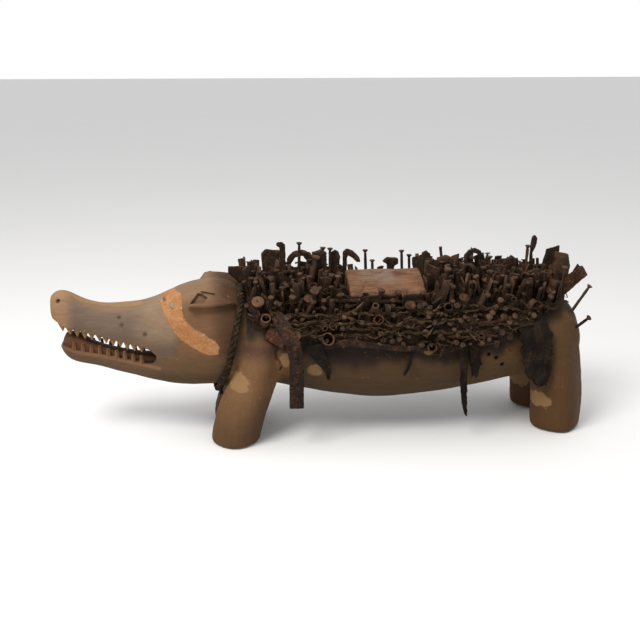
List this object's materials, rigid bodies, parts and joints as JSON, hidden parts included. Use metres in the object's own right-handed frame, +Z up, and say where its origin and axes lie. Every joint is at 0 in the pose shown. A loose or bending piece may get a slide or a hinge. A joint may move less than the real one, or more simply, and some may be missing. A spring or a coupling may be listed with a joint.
{
  "type": "animal fetish figure",
  "caption": "Carved wooden fetish figure of a standing long-jawed animal, its back and flanks driven full of nails, blades and tubes, with a rope collar.",
  "frame": {"origin": "middle of the bounding box, on the surface that the feet stand on", "axes": "+Z up, the head towards -X, the side with the iron strap towards -Y"},
  "size_m": [0.952, 0.262, 0.348],
  "materials": {
    "wood": "handled, oiled and dusty carved wood",
    "block": "polished reddish wood with grain",
    "eye": "dull grey-green inlay",
    "iron": "dark rusted wrought iron",
    "rust": "red-brown rusted iron",
    "hide": "blackened cloth and hide",
    "rope": "dark twisted plant fibre"
  },
  "bodies": {
    "root": {"left_eye": "eye", "right_eye": "eye", "carved_pig": "wood", "back_block": "block", "neck_rope": "rope", "rump_blade": "rust", "shoulder_strap": "iron", "red_plate": "rust", "shoulder_rag": "hide", "short_strip": "hide", "long_strip": "hide", "flank_cloth": "hide", "haunch_cloth": "hide", "split_stick": "rust", "long_rod": "iron", "bowed_strip": "iron", "thin_bar": "rust", "wedge_blade": "iron", "shoulder_plate": "iron", "curled_slab": "iron", "arched_plate": "iron", "rust_block": "iron", "round_blade": "iron", "bent_blade": "iron", "square_iron": "iron", "rear_slab_tall": "iron", "rear_slab_broad": "iron", "bent_arch": "iron", "rump_lump": "iron", "spoon_spike": "iron", "dark_blade": "iron", "grey_plate": "iron", "tall_nail_1": "iron", "tall_nail_2": "iron", "tall_nail_3": "iron", "tall_nail_4": "iron", "tall_nail_5": "iron", "tall_nail_6": "iron", "tall_nail_7": "iron", "tall_nail_8": "iron", "tall_nail_9": "iron", "rump_nail_1": "iron", "rump_nail_2": "iron", "round_head_1": "rust", "round_head_2": "rust", "round_head_3": "rust", "round_head_4": "rust", "round_head_5": "rust", "round_head_6": "rust", "tube_1": "rust", "tube_2": "rust", "tube_3": "rust", "tube_4": "rust", "iron_bed_front": "iron", "iron_bed_rear": "iron", "iron_bed_left": "iron", "iron_bed_right": "iron"}
  },
  "joints": []
}
